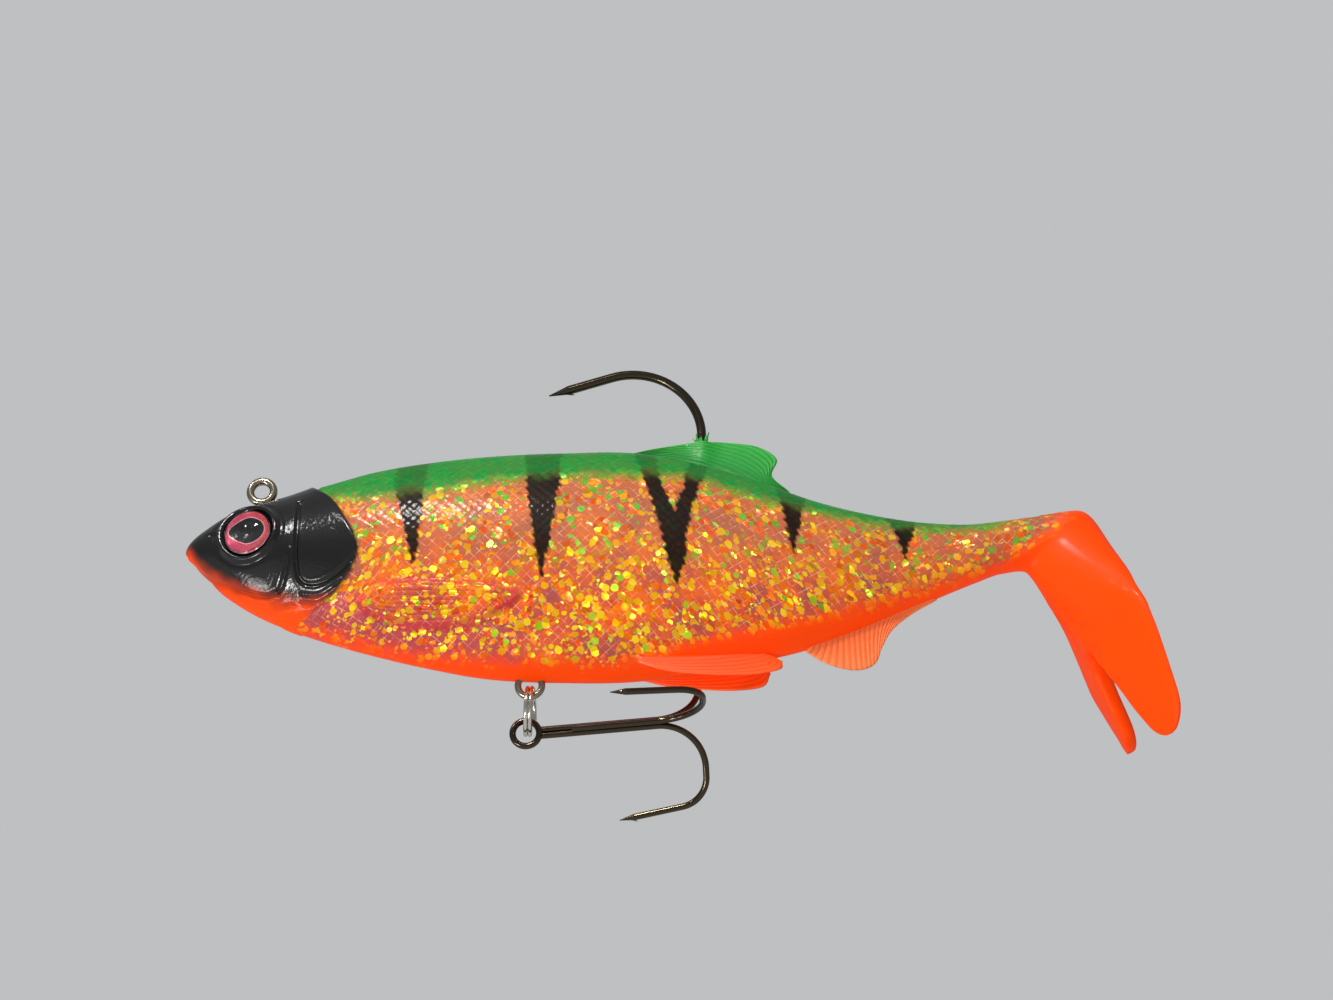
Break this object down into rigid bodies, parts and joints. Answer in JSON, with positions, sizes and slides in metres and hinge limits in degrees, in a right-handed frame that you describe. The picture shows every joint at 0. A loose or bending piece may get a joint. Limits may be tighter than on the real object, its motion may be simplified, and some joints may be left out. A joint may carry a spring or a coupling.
{
  "type": "soft swimbait lure",
  "caption": "Soft paddle-tail swimbait fish with flexing tail, internal weighted top hook, belly split ring and swinging treble hook.",
  "frame": {"origin": "centre of the line-tie eye on top of the head", "axes": "+X from the nose to the tail, +Y towards the fish's right flank, +Z towards its back"},
  "size_m": [0.1769, 0.0302, 0.0844],
  "materials": {
    "glitter_body": "translucent soft plastic filled with gold and orange flakes, glossy",
    "orange_tail": "opaque fluorescent orange soft plastic",
    "green_fin": "translucent green soft plastic",
    "orange_fin": "translucent orange soft plastic",
    "lead": "dull cast lead",
    "steel_wire": "bright drawn steel wire",
    "steel_ring": "polished steel ring",
    "black_nickel": "black-nickel plated hook steel",
    "iris": "printed foil disc, pink-red ring round a black pupil",
    "clear_lens": "clear domed epoxy"
  },
  "bodies": {
    "front_body": {"body_front": "glitter_body", "dorsal_fin": "green_fin", "pectoral_fin_left": "glitter_body", "pectoral_fin_right": "glitter_body", "pelvic_fin_left": "orange_fin", "pelvic_fin_right": "orange_fin", "lead_head": "lead", "line_tie_wire": "steel_wire", "belly_wire": "steel_wire", "jig_hook": "black_nickel", "iris_left": "iris", "iris_right": "iris", "eye_lens_left": "clear_lens", "eye_lens_right": "clear_lens"},
    "rear_body": {"body_rear": "glitter_body", "anal_fin": "orange_fin"},
    "tail_stem": {"tail_stem": "glitter_body"},
    "paddle": {"paddle_tail": "orange_tail"},
    "split_ring": {"split_ring": "steel_ring"},
    "treble": {"treble_pair": "black_nickel", "treble_single": "black_nickel"}
  },
  "joints": [
    {"name": "body_flex", "type": "hinge", "parent": "front_body", "child": "rear_body", "pos_m": [0.0985, 0, -0.015], "axis": [0, 0, 1], "range_deg": [-12, 12], "stiffness_Nm_per_rad": 0.05},
    {"name": "stem_flex", "type": "hinge", "parent": "rear_body", "child": "tail_stem", "pos_m": [0.123, 0, -0.013], "axis": [0, 0, 1], "range_deg": [-25, 25], "stiffness_Nm_per_rad": 0.02},
    {"name": "paddle_kick", "type": "hinge", "parent": "tail_stem", "child": "paddle", "pos_m": [0.1365, 0, -0.011], "axis": [0, 0, 1], "range_deg": [-30, 30], "stiffness_Nm_per_rad": 0.008},
    {"name": "ring_swing", "type": "hinge", "parent": "front_body", "child": "split_ring", "pos_m": [0.0495, 0, -0.03818], "axis": [0, 1, 0], "range_deg": [0, 30]},
    {"name": "treble_swing", "type": "hinge", "parent": "split_ring", "child": "treble", "pos_m": [0.0495, 0, -0.04638], "axis": [0, 1, 0], "range_deg": [0, 120]}
  ]
}
